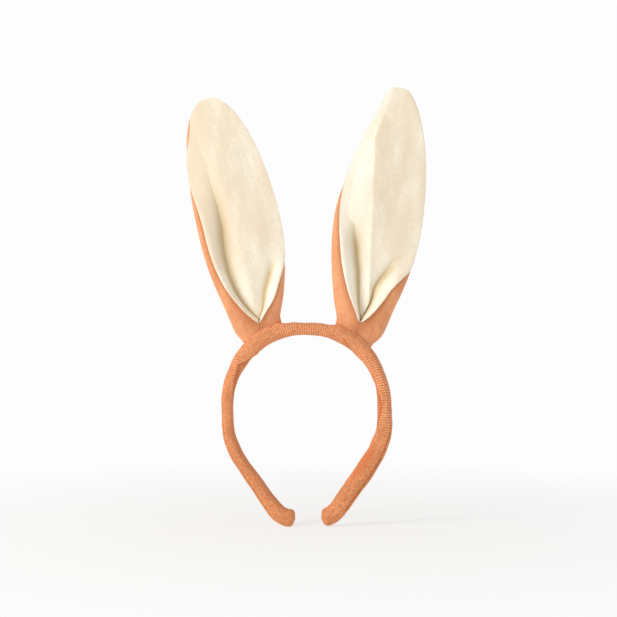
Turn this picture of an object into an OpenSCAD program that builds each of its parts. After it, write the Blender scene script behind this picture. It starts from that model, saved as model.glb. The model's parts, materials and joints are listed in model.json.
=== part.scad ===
// Animal ears headband: a covered spring hoop with two long, wired fabric ears.
// Upright as worn: X to the wearer's left, Y to the back, Z up.
// The origin is the centre of the crown's round inner face.

/* [Covered band] */
// Inside radius of the crown, where it sits on the head
crown_inner_r = 51; // [44:0.5:66]
// Thickness of the covered band, from the head side to the outside
band_thickness = 10.8; // [9:0.2:13.4]
// Width of the covered band, front to back
band_width = 13; // [11:0.5:18]
// Rounding of the covered band's edges
band_corner_r = 3.5; // [2.5:0.25:4]
// Thickness of the knitted sleeve's fabric
sleeve_wall = 1.2; // [0.8:0.1:1.6]

/* [Legs] */
// Angle from the top of the crown to each leg's flex line
flex_angle = 64; // [60:1:76]
// Straight run below the widest point
side_run = 8; // [3:1:20]
// Centreline radius where the leg turns in
leg_bend_r = 54; // [40:1:75]
// Angle that the leg turns in
leg_bend_angle = 34; // [26:1:38]
// Straight run of the lower leg
leg_run = 43; // [34:1:52]
// Centreline radius of the hook at the tip
tip_bend_r = 18; // [14:1:26]
// Angle that the tip hooks in
tip_bend_angle = 45; // [30:1:52]

/* [Spring hoop] */
// Width of the plastic hoop strip, front to back
strip_width = 8; // [6:0.5:9.5]
// Thickness of the plastic hoop strip
strip_thickness = 2; // [1.4:0.1:3]

/* [Ears] */
// Left ear, from its flex line to its tip
left_ear_length = 167; // [130:1:210]
// Right ear, from its flex line to its tip
right_ear_length = 176; // [130:1:210]
// Half width of an ear at its widest
ear_half_width = 31.5; // [26:0.5:40]
// Half width of an ear's pleated base
ear_base_half_width = 19; // [15:0.5:23]
// Angle from the top of the crown to the left ear
left_ear_seat = 31; // [26:1:34]
// Angle from the top of the crown to the right ear
right_ear_seat = 35; // [28:1:38]
// Outward lean of the left ear from upright
left_ear_lean = 12.5; // [8:0.5:20]
// Outward lean of the right ear from upright
right_ear_lean = 9.5; // [8:0.5:20]
// Thickness of an ear's pleated base, front to back
ear_foot_thickness = 9; // [7:0.5:10]
// Thickness of each fabric panel of an ear
panel_wall = 1.2; // [0.8:0.1:1.5]
// Thickness of the wadding at the middle of an ear
wadding_thickness = 3.2; // [2:0.2:4]
// Diameter of the bendable edge wire
wire_d = 1.2; // [0.8:0.1:1.4]

/* [Hidden] */
$fn = 64;

// Colours
velour_orange = [0.91, 0.58, 0.38];
plush_cream = [0.97, 0.93, 0.82];
thread_brown = [0.72, 0.38, 0.22];
foam_white = [0.93, 0.92, 0.88];
strip_white = [0.85, 0.85, 0.83];
wire_grey = [0.55, 0.57, 0.6];

// Band
crown_r = crown_inner_r + band_thickness / 2;
crown_outer_r = crown_inner_r + band_thickness;
flex_gap = 0.3;              // room round each cut end that turns on another
thread_r = 0.4;
thread_start = 14;           // degrees from the flex line to the leg's seam thread
knuckle_reach = 8;           // degrees past the flex line that clear the leg's round end
tip_wall = sleeve_wall / tip_bend_r * 180 / PI;   // degrees of the tip's bend that close the sleeve
strip_short = 2 * tip_wall;  // degrees that the hoop strip stops short of the tip

// Runs of the leg lap into each other by joint_lap, and the inner one is slimmer by joint_trim,
// so that no two surfaces lie on each other where the runs join
joint_lap = 0.05;
joint_trim = 0.02;
$trim = 0;

// Ear base: a cross hinge just above the sleeve, and a side hinge above that
tilt_r = ear_foot_thickness / 2;
tilt_height = tilt_r + 1;    // flex line above the sleeve's outside
tab_top = tilt_r - 0.6;      // top of the sewn tab, below the flex line
splay_r = ear_base_half_width + 3;
splay_height = splay_r + flex_gap + 5.2;
neck_shoulder = 15;          // the neck's shoulders stop this far below the side hinge
stitches_per_side = 5;
stitch_pitch = ear_base_half_width / 3;

// Ear leaf
widest_at = 0.48;            // share of the length at which an ear is widest
fold_top = 0.42;             // share of the length at which the folded edges have opened flat
fold_angle = 150;            // how far the edges are folded forward at the base
fold_r = 2.9;                // radius of the folded edge, at mid thickness
flap_length = 9;             // fabric past the fold, at the base
leaf_start = splay_height + 2;
wadding_gap = 0.25;          // between the wadding and each panel
rows = 20;
columns = 14;

// An ear: [seat angle, lean, length, sideways bow]
function left_ear() = [left_ear_seat, left_ear_lean, left_ear_length, -3];
function right_ear() = [right_ear_seat, right_ear_lean, right_ear_length, 1];
function ear_seat(ear) = ear[0];
function ear_lean(ear) = ear[1];
function ear_length(ear) = ear[2];
function ear_bow(ear) = ear[3];

// ---------- Covered band ----------

// Rounded rectangle, across the band
module band_outline(inset = 0) {
    slimmer = inset + $trim;
    thickness = band_thickness - 2 * slimmer;
    width = band_width - 2 * slimmer;
    r = band_corner_r - slimmer;
    square([thickness - 2 * r, width], center = true);
    square([thickness, width - 2 * r], center = true);
    for (x = [-1, 1], y = [-1, 1])
        translate([x * (thickness / 2 - r), y * (width / 2 - r)]) circle(r);
}

module strip_section() square([strip_thickness - 2 * $trim, strip_width - 2 * $trim], center = true);
module edge_thread_section() translate([band_thickness / 2, 0]) circle(thread_r - $trim);
module back_thread_section() translate([0, band_width / 2]) circle(thread_r);

// Sweeps a section round an arc in the XZ plane, from one angle above +X to another
module swept_arc(r, from, to)
    rotate([90, 0, 0]) rotate_extrude(angle = to - from, start = from) translate([r, 0]) children();

// Runs that head down the leg, with the head side towards -X
module straight_run(length)
    translate([0, 0, -length - joint_lap]) linear_extrude(length + 2 * joint_lap) children();
module bend_run(r, angle) translate([-r, 0, 0]) swept_arc(r, -angle, 0) children();
module after_straight(length) translate([0, 0, -length]) children();
module after_bend(r, angle) translate([-r, 0, 0]) rotate([0, angle, 0]) translate([r, 0, 0]) children();

module at_flex_line() rotate([0, flex_angle - 90, 0]) translate([crown_r, 0, 0]) children();

// All that lies past the knuckle's round face
module above_knuckle()
    difference() {
        translate([-band_thickness, -band_width, 0]) cube([2 * band_thickness, 2 * band_width, 2 * band_thickness]);
        rotate([90, 0, 0]) cylinder(h = 3 * band_width, r = band_thickness / 2 - joint_trim, center = true);
    }

// Right leg, begun some degrees below its flex line and ended short of its tip; the left one is its mirror image
module leg_run_of_band(begun_below = 0, ended_short = 0) {
    swept_arc(crown_r, 0, 90 - flex_angle - begun_below) children();
    translate([crown_r, 0, 0]) {
        straight_run(side_run, $trim = joint_trim) children();
        after_straight(side_run) {
            bend_run(leg_bend_r, leg_bend_angle) children();
            after_bend(leg_bend_r, leg_bend_angle) {
                straight_run(leg_run, $trim = joint_trim) children();
                after_straight(leg_run) bend_run(tip_bend_r, tip_bend_angle - ended_short) children();
            }
        }
    }
}

module at_tip()
    translate([crown_r, 0, 0])
        after_straight(side_run) after_bend(leg_bend_r, leg_bend_angle)
            after_straight(leg_run) after_bend(tip_bend_r, tip_bend_angle) children();

module crown_run_of_band()
    difference() {
        swept_arc(crown_r, 90 - flex_angle, 90 + flex_angle) children();
        for (side = [0, 1])
            mirror([side, 0, 0]) at_flex_line() rotate([90, 0, 0])
                cylinder(h = 2 * band_width, r = band_thickness / 2 + flex_gap, center = true);
    }

module crown_hoop() color(strip_white) crown_run_of_band() strip_section();
module crown_padding() color(foam_white)
    crown_run_of_band() difference() { band_outline(sleeve_wall); strip_section(); }
module crown_seam_thread() color(thread_brown) crown_run_of_band() back_thread_section();

module crown_sleeve() color(velour_orange)
    difference() {
        crown_run_of_band() difference() { band_outline(); band_outline(sleeve_wall); }
        sleeve_slot(right_ear());
        mirror([1, 0, 0]) sleeve_slot(left_ear());
    }

module leg_hoop() color(strip_white) leg_run_of_band(0, strip_short) strip_section();
module leg_seam_thread() color(thread_brown) leg_run_of_band(thread_start) edge_thread_section();

// The padding fills the sleeve and ends in a round knuckle just past the flex line
module leg_padding() color(foam_white)
    difference() {
        leg_run_of_band(-knuckle_reach, tip_wall) band_outline(sleeve_wall);
        leg_run_of_band(0, strip_short) strip_section();
        at_flex_line() above_knuckle();
    }

// The sleeve is open at the flex line and closed at the tip
module leg_sleeve() color(velour_orange)
    difference() {
        leg_run_of_band() band_outline();
        leg_run_of_band(-knuckle_reach, tip_wall) band_outline(sleeve_wall);
    }

module tip_stitches() color(thread_brown)
    at_tip() for (y = [-1, 0, 1])
        translate([0, y * band_width / 5, 0])
            rotate([0, 90, 0]) cylinder(h = band_thickness / 3, r = thread_r, center = true);

// ---------- Ear bases ----------

// Frame of the right ear's flex line: X along the band, Z out of the band
module at_ear_seat(ear) rotate([0, ear_seat(ear), 0]) translate([0, 0, crown_outer_r + tilt_height]) children();

// Frame of the ear itself: same origin, Z up the ear
module at_ear(ear) at_ear_seat(ear) rotate([0, ear_lean(ear) - ear_seat(ear), 0]) children();

module base_block(low, high)
    translate([-ear_base_half_width, -tilt_r, low]) cube([2 * ear_base_half_width, 2 * tilt_r, high - low]);

module sleeve_slot(ear) at_ear_seat(ear) base_block(-tilt_height - band_thickness / 2, 0);

// Sewn into the sleeve's slot, down to the padding
module ear_tab(ear) color(velour_orange)
    difference() {
        at_ear_seat(ear) base_block(-tilt_height - band_thickness / 2, -tab_top);
        rotate([90, 0, 0]) cylinder(h = 2 * band_width, r = crown_outer_r - sleeve_wall, center = true, $fn = 180);
        at_ear_seat(ear) rotate([0, 90, 0])
            cylinder(h = 3 * ear_base_half_width, r = tilt_r + flex_gap, center = true);
    }

module ear_stitches(ear) color(thread_brown)
    for (k = [0 : stitches_per_side - 1], y = [-1, 1]) {
        along = (k - (stitches_per_side - 1) / 2) * stitch_pitch;
        rotate([0, ear_seat(ear) + along / crown_outer_r * 180 / PI, 0])
            translate([0, y * tilt_r, crown_outer_r - thread_r])
                rotate([90, 0, 0]) cylinder(h = 3, r = thread_r, center = true);
    }

// Between the two hinges: round below, with a round seat above
module ear_neck(ear) color(velour_orange)
    difference() {
        union() {
            at_ear_seat(ear) rotate([0, 90, 0]) cylinder(h = 2 * ear_base_half_width, r = tilt_r, center = true);
            at_ear_seat(ear) rotate([90, 0, 0]) linear_extrude(2 * tilt_r, center = true)
                polygon(neck_outline(ear_seat(ear) - ear_lean(ear)));
        }
        at_ear(ear) translate([0, 0, splay_height]) rotate([90, 0, 0])
            cylinder(h = 4 * tilt_r, r = splay_r + flex_gap, center = true, $fn = 128);
    }

// Seen in the flex line's frame, where the ear leans back by its turn
function neck_outline(turn) =
    let (shoulder = ear_base_half_width + 1.5, up = splay_height - neck_shoulder)
    [
        [-ear_base_half_width, 0], [ear_base_half_width, 0],
        [shoulder * cos(turn) - up * sin(turn), up * cos(turn) + shoulder * sin(turn)],
        [-shoulder * cos(turn) - up * sin(turn), up * cos(turn) - shoulder * sin(turn)]
    ];

// Half round below, with a short block on it that the leaf stands on
module ear_foot(ear) color(velour_orange)
    at_ear(ear) translate([0, 0, splay_height]) rotate([90, 0, 0]) {
        difference() {
            cylinder(h = 2 * tilt_r, r = splay_r, center = true, $fn = 128);
            translate([-2 * splay_r, 0, -2 * tilt_r]) cube([4 * splay_r, 2 * splay_r, 4 * tilt_r]);
        }
        translate([-splay_r, 0, -tilt_r]) cube([2 * splay_r, leaf_start - splay_height, 2 * tilt_r]);
    }

// ---------- Ear leaves ----------

function smooth(x) = let (c = max(0, min(1, x))) c * c * (3 - 2 * c);

// Half of the width that shows, at a height above the flex line
function leaf_half(ear, t) =
    let (u = t / ear_length(ear))
    u < widest_at
        ? ear_base_half_width + (ear_half_width - ear_base_half_width) * sin(90 * u / widest_at)
        : max(0.8, ear_half_width * sqrt(max(0, 1 - pow((u - widest_at) / (1 - widest_at), 2))));

function fold_at(ear, t) = fold_angle * (1 - smooth(t / (fold_top * ear_length(ear))));
function flap_at(ear, t) = max(0.4, flap_length * (1 - t / (fold_top * ear_length(ear))));
function flat_part(ear, t) =
    let (fold = fold_at(ear, t))
    max(0.3, leaf_half(ear, t) - fold_r * sin(min(fold, 90)) - flap_at(ear, t) * max(0, cos(fold)));
function fold_arc(ear, t) = fold_r * fold_at(ear, t) * PI / 180;
function fabric_half(ear, t) = flat_part(ear, t) + fold_arc(ear, t) + flap_at(ear, t);

// A point of the ear's fabric: height t, share q of the way across, and d behind mid thickness
function leaf_point(ear, t, q, d) =
    let (
        side = q < 0 ? -1 : 1,
        s = abs(q) * fabric_half(ear, t),
        flat = flat_part(ear, t),
        arc = fold_arc(ear, t),
        turned = max(0, min(1, arc > 0 ? (s - flat) / arc : 1)) * fold_at(ear, t),
        past = max(0, s - flat - arc),
        across = min(s, flat) + fold_r * sin(turned) + past * cos(turned) + d * sin(turned),
        back = fold_r * (cos(turned) - 1) - past * sin(turned) + d * cos(turned),
        centring = fold_r * (1 - cos(fold_at(ear, t))) / 2,
        bow = ear_bow(ear) * sin(180 * t / ear_length(ear))
    )
    [side * across + bow, back + centring, t];

// Half the gap between the two panels: the wadding swells it in the middle
function gap_half(ear, t, q) =
    wadding_thickness / 2 * (1 - pow(abs(q), 6)) * (1 - pow(t / ear_length(ear), 14));

function heights(ear, low, high) =
    [for (i = [0 : rows]) low + (high - low) * sin(90 * i / rows)];

// Closed sheet between two depths; front and back give the depth at a height and a share across.
// A sheet with fewer strips across stops short of both edges and keeps the others' creases.
module leaf_layer(ear, low, high, front, back, strips = columns) {
    levels = heights(ear, low, high);
    line = strips + 1;
    points = [
        for (t = levels, j = [0 : strips]) let (q = (2 * j - strips) / columns) leaf_point(ear, t, q, front(t, q)),
        for (t = levels, j = [0 : strips]) let (q = (2 * j - strips) / columns) leaf_point(ear, t, q, back(t, q))
    ];
    half = line * (rows + 1);
    rim = concat(
        [for (j = [0 : strips - 1]) j],
        [for (i = [0 : rows - 1]) i * line + strips],
        [for (j = [strips : -1 : 1]) rows * line + j],
        [for (i = [rows : -1 : 1]) i * line]
    );
    faces = [
        for (i = [0 : rows - 1], j = [0 : strips - 1]) let (a = i * line + j)
            each [[a, a + line, a + 1], [a + 1, a + line, a + line + 1]],
        for (i = [0 : rows - 1], j = [0 : strips - 1]) let (a = half + i * line + j)
            each [[a, a + 1, a + line], [a + 1, a + line + 1, a + line]],
        for (k = [0 : len(rim) - 1]) let (a = rim[k], b = rim[(k + 1) % len(rim)])
            each [[a, b, a + half], [b, b + half, a + half]]
    ];
    at_ear(ear) polyhedron(points, faces);
}

module ear_back_panel(ear) color(velour_orange)
    leaf_layer(ear, leaf_start, ear_length(ear),
        function (t, q) gap_half(ear, t, q),
        function (t, q) gap_half(ear, t, q) + panel_wall);

module ear_front_panel(ear) color(plush_cream)
    leaf_layer(ear, leaf_start, ear_length(ear),
        function (t, q) -gap_half(ear, t, q) - panel_wall,
        function (t, q) -gap_half(ear, t, q));

module ear_wadding(ear) color(foam_white)
    leaf_layer(ear, leaf_start + 1, ear_length(ear) - 10,
        function (t, q) -gap_half(ear, t, q) + wadding_gap,
        function (t, q) gap_half(ear, t, q) - wadding_gap,
        columns - 4);

// Round section swept along a path that stays near the ear's plane
module swept_round(path, r, sides) {
    last = len(path) - 1;
    points = [
        for (i = [0 : last])
            let (
                ahead = path[min(last, i + 1)] - path[max(0, i - 1)],
                along = ahead / norm(ahead),
                out = cross(along, [0, 1, 0]),
                u = out / norm(out),
                v = cross(u, along)
            )
            for (k = [0 : sides - 1]) path[i] + r * (cos(360 * k / sides) * u + sin(360 * k / sides) * v)
    ];
    faces = [
        [for (k = [0 : sides - 1]) k],
        [for (k = [sides - 1 : -1 : 0]) last * sides + k],
        for (i = [0 : last - 1], k = [0 : sides - 1])
            let (a = i * sides + k, b = i * sides + (k + 1) % sides)
            each [[a, a + sides, b], [b, a + sides, b + sides]]
    ];
    polyhedron(points, faces);
}

// Up one edge of the ear, over its tip and down the other, at an inset from the edge
function edge_path(ear, inset) =
    let (
        levels = heights(ear, leaf_start + 0.5, ear_length(ear) - inset - 0.5),
        share = function (t) max(0.1, 1 - inset / fabric_half(ear, t))
    )
    concat(
        [for (i = [0 : rows]) leaf_point(ear, levels[i], -share(levels[i]), 0)],
        [for (i = [rows : -1 : 0]) leaf_point(ear, levels[i], share(levels[i]), 0)]
    );

module ear_wire(ear) color(wire_grey) at_ear(ear) swept_round(edge_path(ear, 3.5), wire_d / 2, 8);
module ear_edge_thread(ear) color(thread_brown) at_ear(ear) swept_round(edge_path(ear, 1), 0.3, 6);

module left() mirror([1, 0, 0]) children();

crown_hoop();
crown_padding();
crown_sleeve();
crown_seam_thread();
left() ear_tab(left_ear());  // left_ear_tab
ear_tab(right_ear());  // right_ear_tab
left() ear_stitches(left_ear());  // left_ear_stitches
ear_stitches(right_ear());  // right_ear_stitches
left() leg_hoop();  // left_leg_hoop
left() leg_padding();  // left_leg_padding
left() leg_sleeve();  // left_leg_sleeve
left() leg_seam_thread();  // left_leg_seam_thread
left() tip_stitches();  // left_tip_stitches
leg_hoop();  // right_leg_hoop
leg_padding();  // right_leg_padding
leg_sleeve();  // right_leg_sleeve
leg_seam_thread();  // right_leg_seam_thread
tip_stitches();  // right_tip_stitches
left() ear_neck(left_ear());  // left_ear_neck
ear_neck(right_ear());  // right_ear_neck
left() ear_foot(left_ear());  // left_ear_foot
left() ear_back_panel(left_ear());  // left_ear_back_panel
left() ear_front_panel(left_ear());  // left_ear_front_panel
left() ear_wadding(left_ear());  // left_ear_wadding
left() ear_wire(left_ear());  // left_ear_wire
left() ear_edge_thread(left_ear());  // left_ear_edge_thread
ear_foot(right_ear());  // right_ear_foot
ear_back_panel(right_ear());  // right_ear_back_panel
ear_front_panel(right_ear());  // right_ear_front_panel
ear_wadding(right_ear());  // right_ear_wadding
ear_wire(right_ear());  // right_ear_wire
ear_edge_thread(right_ear());  // right_ear_edge_thread
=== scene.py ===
"""Looks of the animal ears headband: a padded hoop in a knitted velour sleeve, with two plush-lined ears."""

import json
import logging
import math
from dataclasses import dataclass, replace
from enum import Enum
from typing import Any, Callable

import bmesh
import bpy
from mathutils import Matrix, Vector, noise

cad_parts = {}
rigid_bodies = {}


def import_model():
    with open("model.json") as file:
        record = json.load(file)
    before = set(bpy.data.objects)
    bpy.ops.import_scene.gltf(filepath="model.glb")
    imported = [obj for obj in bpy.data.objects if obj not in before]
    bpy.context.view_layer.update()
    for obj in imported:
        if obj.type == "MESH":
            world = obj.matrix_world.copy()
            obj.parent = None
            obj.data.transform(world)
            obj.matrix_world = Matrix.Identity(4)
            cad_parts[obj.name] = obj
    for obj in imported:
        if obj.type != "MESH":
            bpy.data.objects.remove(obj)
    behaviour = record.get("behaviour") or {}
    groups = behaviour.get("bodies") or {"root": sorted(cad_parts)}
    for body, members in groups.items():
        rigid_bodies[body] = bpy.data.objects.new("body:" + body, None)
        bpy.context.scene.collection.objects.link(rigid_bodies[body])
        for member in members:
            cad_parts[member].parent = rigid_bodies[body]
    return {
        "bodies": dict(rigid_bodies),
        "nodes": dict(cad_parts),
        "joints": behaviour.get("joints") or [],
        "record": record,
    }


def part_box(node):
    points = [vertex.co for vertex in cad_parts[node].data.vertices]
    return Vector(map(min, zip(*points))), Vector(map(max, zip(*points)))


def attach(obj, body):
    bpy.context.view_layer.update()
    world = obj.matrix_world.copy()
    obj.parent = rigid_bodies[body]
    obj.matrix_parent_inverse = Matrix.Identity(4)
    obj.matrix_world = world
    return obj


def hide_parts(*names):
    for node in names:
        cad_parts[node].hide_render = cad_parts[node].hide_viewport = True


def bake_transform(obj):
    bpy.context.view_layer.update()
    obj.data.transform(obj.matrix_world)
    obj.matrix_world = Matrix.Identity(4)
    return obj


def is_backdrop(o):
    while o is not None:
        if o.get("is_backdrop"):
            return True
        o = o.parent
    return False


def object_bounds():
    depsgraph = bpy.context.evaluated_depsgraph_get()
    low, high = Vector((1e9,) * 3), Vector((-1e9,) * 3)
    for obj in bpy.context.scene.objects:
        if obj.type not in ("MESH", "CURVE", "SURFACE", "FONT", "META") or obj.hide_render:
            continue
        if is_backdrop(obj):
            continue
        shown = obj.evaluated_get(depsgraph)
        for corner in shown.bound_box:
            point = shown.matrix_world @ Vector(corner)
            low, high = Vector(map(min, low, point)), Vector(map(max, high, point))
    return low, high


LOG = logging.getLogger("headband")
MM = 0.001                      # the shapes below are worked out in millimetres
CLOTH_MAP = "cloth"             # UV map of every fabric piece, in millimetres of cloth
PAINTED_SHADE = "crease"               # attribute: how much painted shade a fold or a knitted groove gets, 1 at its bottom, 0 on the open pile
NAP = "nap"                     # attribute: 1 where the pile is brushed over, 0 where it stands open; on the right ear it also carries painted light and shade on the two facets of the ridge
STITCH_ARCH = 1.2               # how far a stitch's middle stands out, in thread radii


class Side(Enum):
    """Which side of the headband a piece belongs to; the value is the sign of its X."""

    LEFT = -1
    RIGHT = 1

    @property
    def word(self) -> str:
        """The side's name as the frame's nodes and bodies use it."""
        return self.name.lower()


def smooth(x: float) -> float:
    """Smoothstep of x, held between 0 and 1."""
    x = max(0.0, min(1.0, x))
    return x * x * (3 - 2 * x)


def mix(a: Any, b: Any, share: float) -> Any:
    """The value or point that lies share of the way from a to b."""
    return a + (b - a) * share


def bell(x: float) -> float:
    """A rounded bump: 1 at 0, fading to nothing past 2."""
    return math.exp(-x * x)


def wander(a: float, b: float, seed: float) -> float:
    """Slow hand-made unevenness between -1 and 1.

    Args:
        a, b: place on the cloth, in steps of about one lump.
        seed: picks an unrelated pattern.
    """
    return noise.noise(Vector((a, b, seed)))


# ---------- Finishes ----------


def linear(code: str) -> tuple[float, float, float, float]:
    """Turns an sRGB hex colour such as "#e5a47f" into linear light, with full opacity."""
    parts = [int(code[i:i + 2], 16) / 255 for i in (1, 3, 5)]
    red, green, blue = (c / 12.92 if c <= 0.04045 else ((c + 0.055) / 1.055) ** 2.4 for c in parts)
    return red, green, blue, 1.0


def add(tree: bpy.types.NodeTree, kind: str, inputs: dict[str | int, Any] | None = None,
        **settings: Any) -> bpy.types.Node:
    """Adds a node to a shader.

    Args:
        tree: the shader.
        kind: the node's type name, without its ShaderNode start.
        inputs: a value, or another node's output to link, for each named or numbered socket.
        settings: the node's own properties.

    Returns:
        The new node.
    """
    node = tree.nodes.new("ShaderNode" + kind)
    for name, value in settings.items():
        setattr(node, name, value)
    for name, value in (inputs or {}).items():
        if isinstance(value, bpy.types.NodeSocket):
            tree.links.new(value, node.inputs[name])
        else:
            node.inputs[name].default_value = value
    return node


def ramp(tree: bpy.types.NodeTree, factor: bpy.types.NodeSocket, stops: list[tuple[float, str]]) -> Any:
    """Adds a colour ramp with these (place, hex colour) stops and returns its colour output."""
    node = add(tree, "ValToRGB", {"Fac": factor})
    elements = node.color_ramp.elements
    while len(elements) < len(stops):
        elements.new(0.5)
    for element, (place, code) in zip(elements, stops):
        element.position = place
        element.color = linear(code)
    return node.outputs["Color"]


def shader(name: str, surface: dict[str, Any]
           ) -> tuple[bpy.types.Material, bpy.types.NodeTree, bpy.types.Node]:
    """A new material with only its Principled shader.

    Args:
        name: the material's name.
        surface: the shader's values that are the same all over.

    Returns:
        (the material, its tree, the shader).
    """
    material = bpy.data.materials.new(name)
    material.use_nodes = True
    tree = material.node_tree
    principled = tree.nodes["Principled BSDF"]
    for socket, value in surface.items():
        principled.inputs[socket].default_value = value
    return material, tree, principled


def pile(roughness: float, specular: float, sheen: float, spread: float, tint: str) -> dict[str, Any]:
    """Shader values of a dull cloth whose pile lights up at the edges, over a spread and in a tint."""
    return {"Roughness": roughness, "Specular IOR Level": specular, "Sheen Weight": sheen,
            "Sheen Roughness": spread, "Sheen Tint": linear(tint)}


def cloth_inputs(tree: bpy.types.NodeTree) -> tuple[Any, Any, Any]:
    """A fabric piece's own (place on the cloth, painted crease shade, nap), as outputs in a shader."""
    return (add(tree, "UVMap", uv_map=CLOTH_MAP).outputs["UV"],
            add(tree, "Attribute", attribute_name=PAINTED_SHADE).outputs["Fac"],
            add(tree, "Attribute", attribute_name=NAP).outputs["Fac"])


def relief(tree: bpy.types.NodeTree, principled: bpy.types.Node, height: Any, strength: float,
           depth: float) -> None:
    """Gives the shader a fine relief, depth mm deep, from a height output."""
    bump = add(tree, "Bump", {"Height": height, "Strength": strength, "Distance": depth * MM})
    tree.links.new(bump.outputs[0], principled.inputs["Normal"])


@dataclass(frozen=True)
class KnittedVelour:
    """Stretch knitted velour, polyester: fine courses run round the band, with a short dull pile.

    Painted light and shade: random specks of a painted peach highlight and a painted terracotta shade stand
    in for the loops catching the light, and the shade grows where the crease attribute marks a knitted
    groove, a lap's hollow or the sewn line.
    """

    # the crest colour is a painted highlight and the groove colour a painted shade; ground is the cloth's own
    # colour
    lit_crest: str = "#f4b893"
    ground: str = "#e2925f"
    groove: str = "#a9552b"
    brushed: str = "#d97d4e"
    stitch_mm: float = 1.75     # one knitted loop, which just shows at this distance
    patch_mm: float = 14.0      # slow changes of tone along the band
    fuzz_per_mm: float = 2.2    # stray fibres of the pile

    def material(self) -> bpy.types.Material:
        """Builds the material."""
        material, tree, principled = shader("knitted_velour", pile(0.92, 0.15, 0.35, 0.45, "#ffd9bd"))
        cloth, crease, nap = cloth_inputs(tree)
        speck = add(tree, "TexNoise", {"Vector": cloth, "Scale": 1 / self.stitch_mm, "Detail": 3.0,
                                       "Roughness": 0.65}).outputs["Fac"]
        patches = add(tree, "TexNoise", {"Vector": cloth, "Scale": 1 / self.patch_mm, "Detail": 2.0})
        # painted shade: the crease attribute pushes the specks towards the painted groove shade
        depth = add(tree, "Math", {0: crease, 1: speck, 2: -0.05}, operation="MULTIPLY_ADD")
        shade = add(tree, "Math", {0: speck, 1: 0.55, 2: depth.outputs[0]}, operation="MULTIPLY_ADD")
        tone = ramp(tree, shade.outputs[0], [(0.1, self.lit_crest), (0.45, self.ground), (1.0, self.groove)])
        patchy = add(tree, "MapRange", {"Value": patches.outputs["Fac"], "From Min": 0.3, "From Max": 0.7,
                                        "To Min": 0.9, "To Max": 1.08})
        toned = add(tree, "HueSaturation", {"Color": tone, "Value": patchy.outputs[0]})
        both = add(tree, "Mix", {0: nap, 6: toned.outputs[0], 7: linear(self.brushed)}, data_type="RGBA")
        tree.links.new(both.outputs[2], principled.inputs["Base Color"])
        fuzz = add(tree, "TexNoise", {"Vector": cloth, "Scale": self.fuzz_per_mm, "Detail": 2.0})
        relief(tree, principled, fuzz.outputs["Fac"], 0.35, 0.3)
        return material


@dataclass(frozen=True)
class PileCloth:
    """Cut-pile cloth, polyester velour or plush: matt, with a soft bright edge where it leans away.

    Fields:
        name: the material's name.
        open_pile, leaning, deep: colours of the pile facing us, brushed over, and a painted shade for the
            pile in a fold.
        fibre_mm: width of one tuft of pile, drawn about twice as coarse as it is so that it shows.
        sheen: how strongly the pile's edges light up.
        tint: colour of that edge light.
        stroke_mm: width of the soft strokes that a hand leaves in the pile.
        stretch: how much longer tufts and strokes are along the ear than across.
    """

    name: str
    open_pile: str
    leaning: str
    fold_shade: str
    fibre_mm: float
    sheen: float
    tint: str
    stroke_mm: float = 16.0
    stretch: float = 0.35

    def material(self) -> bpy.types.Material:
        """Builds the material."""
        material, tree, principled = shader(self.name, pile(0.95, 0.1, self.sheen, 0.5, self.tint))
        cloth, crease, brushed = cloth_inputs(tree)
        along = add(tree, "Mapping", {"Vector": cloth, "Scale": (1.0, self.stretch, 1.0)}).outputs[0]
        tufts = add(tree, "TexNoise", {"Vector": along, "Scale": 1 / self.fibre_mm, "Detail": 3.0,
                                       "Roughness": 0.6}).outputs["Fac"]
        strokes = add(tree, "TexNoise", {"Vector": along, "Scale": 1 / self.stroke_mm, "Detail": 3.0,
                                         "Roughness": 0.55}).outputs["Fac"]
        grain = add(tree, "Math", {0: tufts, 1: 0.45, 2: strokes}, operation="MULTIPLY_ADD")
        lie = add(tree, "Math", {0: brushed, 1: -0.3, 2: grain.outputs[0]}, operation="MULTIPLY_ADD")
        nap = ramp(tree, lie.outputs[0], [(0.42, self.leaning), (0.82, self.open_pile)])
        # painted shade: the crease attribute darkens the pile towards the fold shade colour
        shade = add(tree, "Mix", {0: crease, 6: nap, 7: linear(self.fold_shade)}, data_type="RGBA")
        tree.links.new(shade.outputs[2], principled.inputs["Base Color"])
        relief(tree, principled, tufts, 0.4, 0.35)
        return material


@dataclass(frozen=True)
class SolidFinish:
    """A thread, plastic or metal whose colour wavers finely between two shades.

    Fields:
        name: the material's name.
        dark, light: its two shades.
        specks_per_m: how fine the specks are.
        blend: the two noise levels between which dark turns to light.
        detail: how many finer layers the specks have.
        surface: the shader's other values.
    """

    name: str
    dark: str
    light: str
    specks_per_m: float
    blend: tuple[float, float]
    detail: float
    surface: dict[str, Any]

    def material(self) -> bpy.types.Material:
        """Builds the material."""
        material, tree, principled = shader(self.name, self.surface)
        place = add(tree, "TexCoord").outputs["Object"]
        specks = add(tree, "TexNoise", {"Vector": place, "Scale": self.specks_per_m, "Detail": self.detail})
        shades = list(zip(self.blend, (self.dark, self.light)))
        tree.links.new(ramp(tree, specks.outputs["Fac"], shades), principled.inputs["Base Color"])
        return material


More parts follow.
